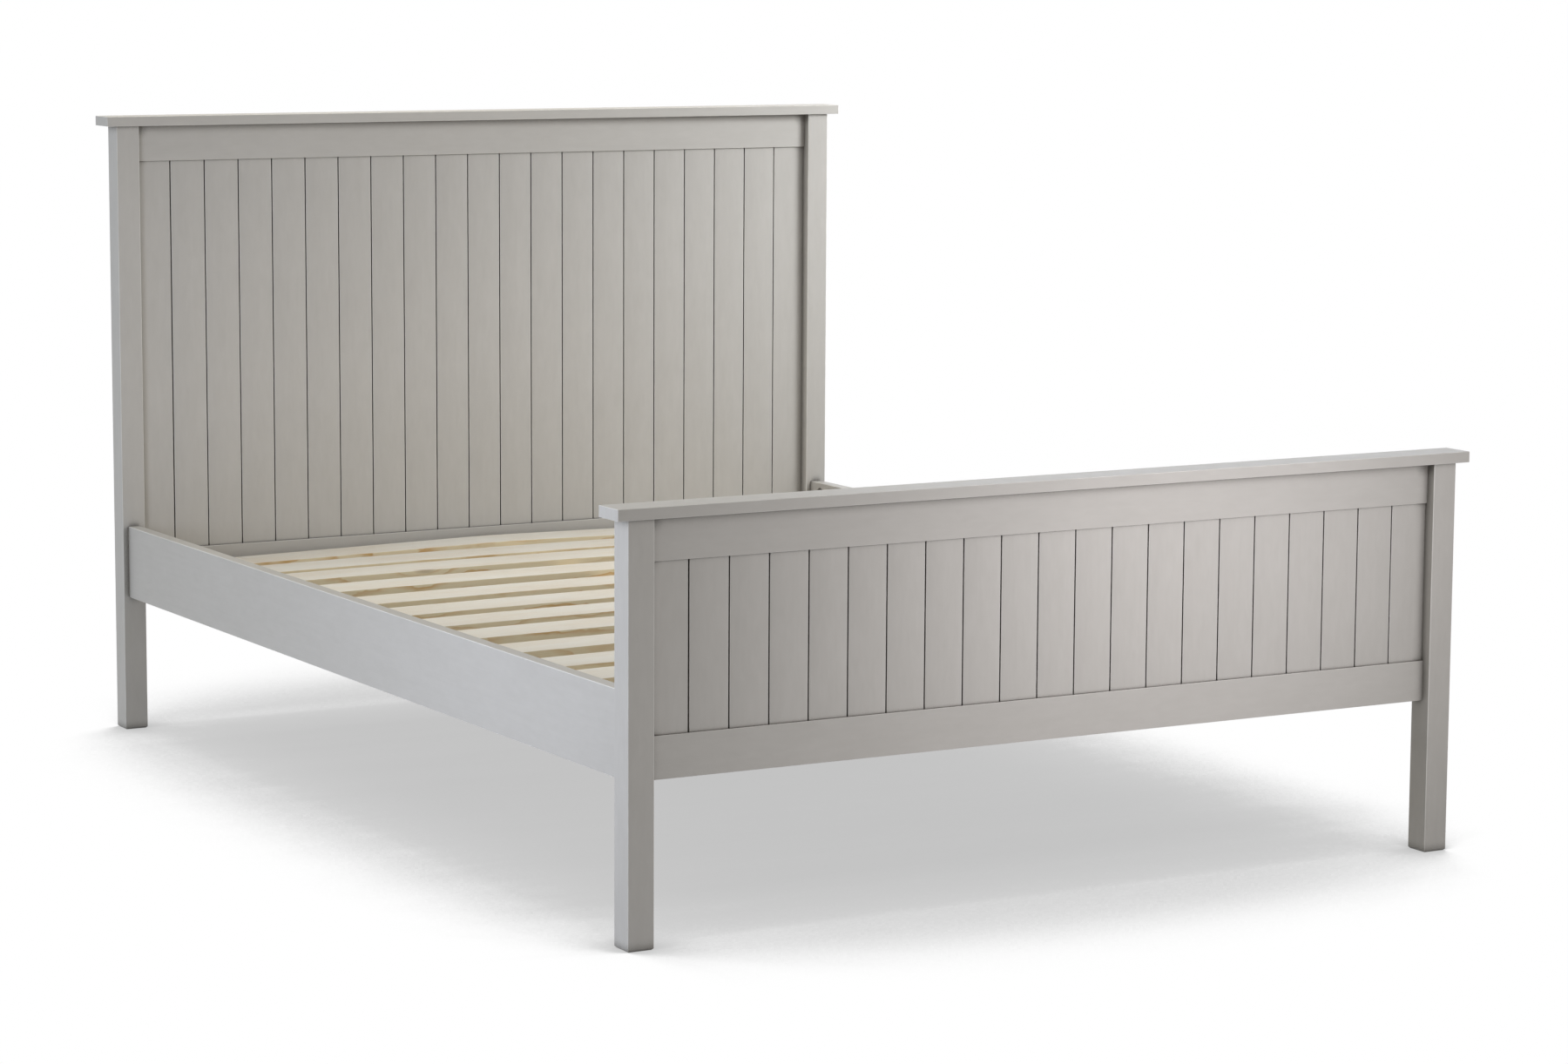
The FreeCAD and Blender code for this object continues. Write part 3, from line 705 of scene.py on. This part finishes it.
def board_tree():
    """Tongue and groove boards side by side along X."""
    tree, given, output = new_tree("panel boards", BOARD_INPUTS, Count="Int", First="Vector")
    height = given["Height"]
    reach = given["Tongue Reach"]
    width = maths(tree, "SUBTRACT", given["Pitch"], given["Reveal"])
    half = times(tree, width, 0.5)
    mid_height = times(tree, height, 0.5)
    plank = rounded_bar(
        tree, width, given["Thickness"], given["Bevel"], (0.0, 0.0, 0.0), point(tree, z=height), 2)
    tongue_run = plus(tree, plus(tree, reach, given["Reveal"]), reach)
    tongue_x = plus(tree, half, times(tree, given["Reveal"], 0.5))
    tongue = box_shape(
        tree, point(tree, tongue_run, given["Tongue Thickness"], height),
        point(tree, tongue_x, 0.0, mid_height))
    groove_size = point(
        tree, times(tree, plus(tree, reach, TONGUE_CLEARANCE), 2.0),
        plus(tree, given["Tongue Thickness"], TONGUE_CLEARANCE), times(tree, height, GROOVE_CUT_SHARE))
    groove = box_shape(tree, groove_size, point(tree, times(tree, half, -1.0), 0.0, mid_height))
    board = joined(tree, "UNION", joined(tree, "DIFFERENCE", plank, groove), tongue)
    # How deep a point lies inside a groove, for the shade painted there
    off_middle = maths(tree, "ABSOLUTE", axes_of(tree, position(tree))[1])
    inward = maths(tree, "SUBTRACT", times(tree, given["Thickness"], 0.5), off_middle)
    board = stored(tree, board, "seam", ranged(tree, inward, "board seam"), "FLOAT")
    row = add_node(
        tree, "GeometryNodeMeshLine",
        {"Count": given["Count"], "Start Location": given["First"], "Offset": point(tree, given["Pitch"])})
    finished(tree, output, instanced(tree, row.outputs[0], board), given["Material"])
    return tree


def screw_rings(tree, given, clearance=0.0, overrun=0.0):
    """Radii and heights of a screw, or with a clearance those of the hole around it."""
    head = plus(tree, times(tree, given["Head Diameter"], 0.5), clearance)
    shank = plus(tree, times(tree, given["Diameter"], 0.5), clearance)
    tip = times(tree, shank, SCREW_TIP_SHARE)
    end = times(tree, given["Length"], -1.0)
    rings = [
        (head, 0.0),
        (shank, times(tree, given["Head Height"], -1.0)),
        (shank, plus(tree, end, given["Diameter"])),
        (tip, end),
    ]
    return [(head, overrun)] + rings if overrun else rings


def screw_tree():
    """Cross-slotted countersunk screws, one on each point, sunk along the point's direction."""
    tree, given, output = new_tree("countersunk screws", SCREW_INPUTS + SLOT_INPUTS)
    width, length = given["Slot Width"], given["Slot Length"]
    depth = times(tree, given["Slot Depth"], 2.0)
    slots = [box_shape(tree, point(tree, *size, depth)) for size in ((width, length), (length, width))]
    stem = stem_shape(tree, screw_rings(tree, given))
    screw = joined(tree, "DIFFERENCE", stem, joined(tree, "UNION", *slots))
    turn = add_node(
        tree, "FunctionNodeAlignRotationToVector", {"Vector": stored_vector(tree, "outward")}, axis="Z")
    copies = instanced(tree, given["Geometry"], screw, Rotation=turn.outputs[0])
    finished(tree, output, copies, given["Material"])
    return tree


def slat_tree():
    """Bent slats with a countersunk hole near each end, one on each point."""
    tree, given, output = new_tree("slats", SLAT_INPUTS + SCREW_INPUTS)
    half = times(tree, given["Slat Length"], 0.5)
    mid_z = times(tree, given["Thickness"], 0.5)
    plank = rounded_bar(
        tree, given["Width"], given["Thickness"], given["Edge Radius"],
        point(tree, times(tree, half, -1.0), 0.0, mid_z), point(tree, half, 0.0, mid_z), BEND_STEPS)
    hole = stem_shape(tree, screw_rings(tree, given, given["Hole Gap"], HOLE_OVERRUN))
    cutters = []
    for side in (-1.0, 1.0):
        screw_x = times(tree, given["Screw Place"], side)
        cutters.append(moved(tree, hole, point(tree, screw_x, given["Screw Shift"], given["Thickness"])))
    slat = stored(tree, joined(tree, "DIFFERENCE", plank, *cutters), "grain_place", position(tree))
    x = maths(tree, "ABSOLUTE", axes_of(tree, position(tree))[0])
    past_flat = maths(tree, "MAXIMUM", maths(tree, "SUBTRACT", x, given["Flat Half Width"]), 0.0)
    share = maths(tree, "DIVIDE", past_flat, maths(tree, "SUBTRACT", half, given["Flat Half Width"]))
    drop = maths(tree, "POWER", share, given["Evenness"])
    rise = times(tree, given["Crown"], maths(tree, "SUBTRACT", 1.0, drop))
    bent = add_node(tree, "GeometryNodeSetPosition", {"Geometry": slat, "Offset": point(tree, z=rise)})
    copies = realized(tree, instanced(tree, given["Geometry"], bent.outputs[0]))
    grain = vector_maths(
        tree, "ADD", stored_vector(tree, "grain_place"), stored_vector(tree, "grain_shift"))
    finished(tree, output, stored(tree, copies, "grain_place", grain), given["Material"])
    return tree


def points_mesh(name, places, attribute, vectors):
    """A mesh of loose points with a named vector on each of them."""
    mesh = bpy.data.meshes.new(name)
    mesh.from_pydata(places, [], [])
    layer = mesh.attributes.new(attribute, "FLOAT_VECTOR", "POINT")
    for item, vector in zip(layer.data, vectors):
        item.vector = vector
    return mesh


def grow(name, mesh, tree, values, key, slot, *replaced):
    """Runs a tree on a mesh, keeps its result as a plain mesh, and hands it to the frame."""
    piece = bpy.data.objects.new(name, mesh)
    bpy.context.scene.collection.objects.link(piece)
    modifier = piece.modifiers.new("build", "NODES")
    modifier.node_group = tree
    values = dict(values, Material=finish(key))
    for item in tree.interface.items_tree:
        if item.in_out == "INPUT" and item.name in values:
            modifier[item.identifier] = values.pop(item.name)
    if values:
        raise RuntimeError(name + ": the tree has no input for " + ", ".join(sorted(values)))
    bpy.context.view_layer.update()
    graph = bpy.context.evaluated_depsgraph_get()
    result = bpy.data.meshes.new_from_object(
        piece.evaluated_get(graph), preserve_all_data_layers=True, depsgraph=graph)
    piece.modifiers.clear()
    piece.data = result
    if not result.polygons:
        raise RuntimeError(name + " came out empty")
    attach(piece, "root")
    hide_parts(*replaced)
    return piece


# Places and sizes that the frame gives

def centre(name):
    """The middle of a node's box."""
    low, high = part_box(name)
    return (low + high) / 2


def screw_values(sizes, length):
    """The inputs that describe a screw of one length."""
    return {
        "Length": length, "Diameter": sizes.screw_diameter, "Head Diameter": sizes.screw_head,
        "Head Height": sizes.screw_head_height,
    }


def slat_bend(name):
    """The flat half width at the middle of a slat, and how the slat falls away beside it."""
    if name in (SLAT_NAMES[0], SLAT_NAMES[-1]):
        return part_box("centre_rail")[1].x + BRACKET_STEEL, STRAIGHT_FALL
    return 0.0, ROUND_FALL


def slat_rise(name, x, sizes):
    """How far a slat is above its ends at a place across the bed."""
    low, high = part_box(name)
    flat, evenness = slat_bend(name)
    crown = high.z - low.z - sizes.slat_thickness
    return crown * (1 - ((x - flat) / (high.x - flat)) ** evenness)


def slat_screw_y(name):
    """Where a slat's screws are along the bed: at its middle, or a little in from the end of the ledge."""
    low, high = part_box("ledge_right")
    return max(low.y + SCREW_INSET, min(high.y - SCREW_INSET, centre(name).y))


def grain_shift(y, group):
    """How far a slat's grain is moved, so that no two slats look alike."""
    along, across, deep = (rate * y for rate in GRAIN_RATES)
    return (
        GRAIN_REACHES[0] * math.sin(along + group),
        GRAIN_REACHES[1] * math.sin(across) + GROUP_STEP * group,
        GRAIN_REACHES[2] * math.cos(deep),
    )


def slat_screw_places(sizes):
    """Two screws down into the ledges for each slat."""
    x = centre("ledge_right").x
    places = []
    for name in SLAT_NAMES:
        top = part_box(name)[0].z + sizes.slat_thickness
        z = top + slat_rise(name, x + sizes.screw_head / 2, sizes)
        places += [((side * x, slat_screw_y(name), z), (0.0, 0.0, 1.0)) for side in (-1, 1)]
    return places


def ledge_screw_places():
    """Screws through each ledge into its side rail, in every second gap between slats."""
    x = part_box("ledge_right")[0].x
    z = centre("ledge_right").z
    pairs = zip(SLAT_NAMES[:-1:2], SLAT_NAMES[1::2])
    rows = [(centre(first).y + centre(second).y) / 2 for first, second in pairs]
    return [((side * x, y, z), (-side, 0.0, 0.0)) for side in (-1, 1) for y in rows]


def bracket_screw_places():
    """Four screws through the ears of each bracket and one through each cheek."""
    places = []
    cheek_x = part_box("centre_rail")[1].x + BRACKET_STEEL
    cheek_z = centre("centre_rail").z
    for end, outward in zip(ENDS, (-1, 1)):
        low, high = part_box("centre_bracket_" + end)
        ear_x = (high.x + cheek_x) / 2
        ear_y = (low.y if outward < 0 else high.y) - outward * BRACKET_STEEL
        for side in (-1, 1):
            for z in (low.z + SCREW_INSET, high.z - SCREW_INSET):
                places.append(((side * ear_x, ear_y, z), (0.0, -outward, 0.0)))
            places.append(((side * cheek_x, (low.y + high.y) / 2, cheek_z), (side, 0.0, 0.0)))
    return places


# Stage

def grey(level):
    """A plain grey with full alpha."""
    return (level, level, level, 1.0)


def seen_or_lit(tree, output, lit, seen):
    """One shader for the light that a surface gives, and one for how the camera and a gloss see it."""
    path = add_node(tree, "ShaderNodeLightPath").outputs
    direct = maths(tree, "MAXIMUM", path["Is Camera Ray"], path["Is Glossy Ray"])
    direct = maths(tree, "MAXIMUM", direct, path["Is Transmission Ray"])
    mix = add_node(tree, "ShaderNodeMixShader", {0: direct, 1: lit.outputs[0], 2: seen.outputs[0]})
    tree.links.new(mix.outputs[0], output.inputs["Surface"])


def lay_floor(scene):
    """A plain pale floor to the light; to the camera it glows, with the bed's shadow painted in."""
    mesh = bpy.data.meshes.new("floor")
    corners = [(x * FLOOR_HALF, y * FLOOR_HALF, 0) for x, y in ((-1, -1), (1, -1), (1, 1), (-1, 1))]
    mesh.from_pydata(corners, [], [(0, 1, 2, 3)])
    floor = bpy.data.objects.new("floor", mesh)
    scene.collection.objects.link(floor)
    material, tree, output = new_material("studio floor")
    paper = add_node(tree, "ShaderNodeBsdfDiffuse", {"Color": grey(FLOOR_GREY)})
    # Painted shadow: where the camera or a gloss sees the floor, it glows white, dimmed where it sees less
    # open sky
    shade = open_sky(tree, SHADOW_REACH, SHADOW_SAMPLES)
    soft = ranged(tree, shade, "soft shadow", "SMOOTHSTEP")
    strength = plus(tree, ranged(tree, shade, "deep shadow"), soft)
    white = add_node(tree, "ShaderNodeEmission", {"Color": grey(1.0), "Strength": strength})
    seen_or_lit(tree, output, paper, white)
    mesh.materials.append(material)


def hang_sky(scene):
    """White where it is seen, and a plain soft light everywhere else."""
    world = bpy.data.worlds.new("studio")
    world.use_nodes = True
    tree = world.node_tree
    tree.nodes.clear()
    output = add_node(tree, "ShaderNodeOutputWorld")
    white = add_node(tree, "ShaderNodeBackground", {"Color": grey(1.0), "Strength": 1.0})
    soft = add_node(
        tree, "ShaderNodeBackground", {"Color": opaque(SKY_COLOUR), "Strength": SKY_STRENGTH})
    seen_or_lit(tree, output, soft, white)
    scene.world = world


def area_lamp(scene, name, place, target, size, power, colour, beam, mirrored):
    """A soft rectangular lamp that faces a target."""
    data = bpy.data.lights.new(name, "AREA")
    data.shape = "RECTANGLE"
    data.size, data.size_y = size
    data.energy = power
    data.color = colour
    data.spread = math.radians(beam)
    lamp = bpy.data.objects.new(name, data)
    lamp.location = place
    lamp.visible_glossy = mirrored
    lamp.rotation_euler = (Vector(target) - Vector(place)).to_track_quat("-Z", "Y").to_euler()
    scene.collection.objects.link(lamp)


def place_camera(scene):
    """The camera, at the photograph's angle."""
    data = bpy.data.cameras.new("view")
    data.sensor_width = CAMERA_SENSOR
    data.lens = CAMERA_LENS
    data.clip_end = CAMERA_FAR
    camera = bpy.data.objects.new("view", data)
    camera.location = CAMERA_PLACE
    camera.rotation_euler = [math.radians(angle) for angle in CAMERA_TURN]
    scene.collection.objects.link(camera)
    scene.camera = camera


# Operators: one for each piece or group of like pieces, and one for the stage

class BED_OT_end_frames(bpy.types.Operator):
    """Paint the posts, the caps, the panel rails and the boards beside the posts"""

    bl_idname = "bed.end_frames"
    bl_label = "End frames"

    def execute(self, context):
        for end in ENDS:
            for piece in ("cap", "top_rail", "bottom_rail"):
                dress(end + "_" + piece, "paint_x")
            for side in SIDES:
                dress(end + "_post_" + side, "paint_z")
                dress(end + "_edge_board_" + side, "paint_z")
        return {"FINISHED"}


class BED_OT_side_rails(bpy.types.Operator):
    """Paint the two side rails"""

    bl_idname = "bed.side_rails"
    bl_label = "Side rails"

    def execute(self, context):
        for side in SIDES:
            dress("side_rail_" + side, "paint_y")
        return {"FINISHED"}


class BED_OT_panel_boards(bpy.types.Operator):
    """Build the tongue and groove boards of both panels"""

    bl_idname = "bed.panel_boards"
    bl_label = "Panel boards"

    def execute(self, context):
        sizes = context.scene.bed_sizes
        tree = board_tree()
        for end in ENDS:
            low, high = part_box(end + "_boards")
            first_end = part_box(end + "_edge_board_left")[1].x
            last_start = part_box(end + "_edge_board_right")[0].x
            left = first_end - sizes.tongue_reach - sizes.board_reveal / 2
            right = last_start - sizes.board_reveal / 2
            count = round((right - left) / (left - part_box(end + "_post_left")[1].x))
            pitch = (right - left) / count
            values = {
                "Count": count, "Pitch": pitch, "Height": high.z - low.z, "Thickness": high.y - low.y,
                "First": Vector((left + pitch / 2, (low.y + high.y) / 2, low.z)),
                "Reveal": sizes.board_reveal, "Bevel": sizes.board_bevel,
                "Tongue Thickness": sizes.tongue_thickness, "Tongue Reach": sizes.tongue_reach,
            }
            mesh = bpy.data.meshes.new(end + " boards")
            grow(end + "_panel_boards", mesh, tree, values, "paint_z", "painted_wood", end + "_boards")
        return {"FINISHED"}


class BED_OT_slats(bpy.types.Operator):
    """Build the slats that the mattress lies on"""

    bl_idname = "bed.slats"
    bl_label = "Slats"

    def execute(self, context):
        sizes = context.scene.bed_sizes
        tree = slat_tree()
        groups = (
            ("foot_end_slat", SLAT_NAMES[:1]),
            ("middle_slats", SLAT_NAMES[1:-1]),
            ("head_end_slat", SLAT_NAMES[-1:]),
        )
        for number, (name, members) in enumerate(groups):
            low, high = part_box(members[0])
            flat, evenness = slat_bend(members[0])
            rows = [centre(member).y for member in members]
            values = {
                "Slat Length": high.x - low.x, "Width": high.y - low.y, "Thickness": sizes.slat_thickness,
                "Edge Radius": sizes.slat_edge, "Crown": high.z - low.z - sizes.slat_thickness,
                "Flat Half Width": flat, "Evenness": evenness, "Screw Place": centre("ledge_right").x,
                "Screw Shift": slat_screw_y(members[0]) - rows[0], "Hole Gap": SCREW_CLEARANCE,
                **screw_values(sizes, sizes.slat_screw),
            }
            places = [(0.0, y, low.z) for y in rows]
            shifts = [grain_shift(y, number) for y in rows]
            mesh = points_mesh(name, places, "grain_shift", shifts)
            grow(name, mesh, tree, values, "slats", "whitewood", *members)
        return {"FINISHED"}


class BED_OT_under_rails(bpy.types.Operator):
    """Finish the ledges and the centre rail under the slats"""

    bl_idname = "bed.under_rails"
    bl_label = "Ledges and centre rail"

    def execute(self, context):
        for name in ("ledge_left", "ledge_right", "centre_rail"):
            dress(name, "battens")
        return {"FINISHED"}


class BED_OT_fasteners(bpy.types.Operator):
    """Finish the dowels, the brackets, the bolts, the washers and the nuts"""

    bl_idname = "bed.fasteners"
    bl_label = "Brackets, bolts and dowels"

    def execute(self, context):
        for name in nodes:
            if name.endswith("dowels"):
                dress(name, "beech")
        for name in STEEL_FITTINGS:
            dress(name, "zinc")
        return {"FINISHED"}


class BED_OT_screws(bpy.types.Operator):
    """Drive the countersunk screws of the slats, the ledges and the brackets"""

    bl_idname = "bed.screws"
    bl_label = "Screws"

    def execute(self, context):
        sizes = context.scene.bed_sizes
        tree = screw_tree()
        groups = (
            ("slat_wood_screws", "slat_screws", sizes.slat_screw, slat_screw_places(sizes)),
            ("ledge_wood_screws", "ledge_screws", sizes.ledge_screw, ledge_screw_places()),
            ("bracket_wood_screws", "bracket_screws", sizes.bracket_screw, bracket_screw_places()),
        )
        for name, node, length, screws in groups:
            values = {
                **screw_values(sizes, length), "Slot Width": sizes.slot_width,
                "Slot Length": sizes.slot_length, "Slot Depth": sizes.slot_depth,
            }
            places, ways = zip(*screws)
            mesh = points_mesh(name, places, "outward", ways)
            grow(name, mesh, tree, values, "zinc", "zinc_steel", node)
        return {"FINISHED"}


class BED_OT_stage(bpy.types.Operator):
    """Set up the floor, the soft studio light and the camera"""

    bl_idname = "bed.stage"
    bl_label = "Stage"

    def execute(self, context):
        scene = context.scene
        scene.view_settings.view_transform = "Standard"
        lay_floor(scene)
        hang_sky(scene)
        for lamp in LAMPS:
            area_lamp(scene, *lamp)
        place_camera(scene)
        return {"FINISHED"}


OPERATORS = (
    BED_OT_end_frames, BED_OT_side_rails, BED_OT_panel_boards, BED_OT_slats, BED_OT_under_rails,
    BED_OT_fasteners, BED_OT_screws, BED_OT_stage,
)


class BED_PT_panel(bpy.types.Panel):
    """Lists the sizes, the colours and the steps that dress the bed."""

    bl_label = "Double bed frame"
    bl_idname = "BED_PT_panel"
    bl_space_type = "VIEW_3D"
    bl_region_type = "UI"
    bl_category = "Bed"

    def draw(self, context):
        for group in (context.scene.bed_sizes, context.scene.bed_colours):
            for name in group.__annotations__:
                self.layout.prop(group, name)
        for operator in OPERATORS:
            self.layout.operator(operator.bl_idname)


CLASSES = (BedSizes, BedColours) + OPERATORS + (BED_PT_panel,)


def register():
    """Registers the classes and the two groups of settings."""
    for item in CLASSES:
        bpy.utils.register_class(item)
    bpy.types.Scene.bed_sizes = bpy.props.PointerProperty(type=BedSizes)
    bpy.types.Scene.bed_colours = bpy.props.PointerProperty(type=BedColours)


def unregister():
    """Takes the classes and the groups out again."""
    del bpy.types.Scene.bed_colours
    del bpy.types.Scene.bed_sizes
    for item in reversed(CLASSES):
        bpy.utils.unregister_class(item)


def main():
    """Dresses the frame."""
    register()
    for operator in OPERATORS:
        group, name = operator.bl_idname.split(".")
        getattr(getattr(bpy.ops, group), name)()


if __name__ == "__main__":
    main()
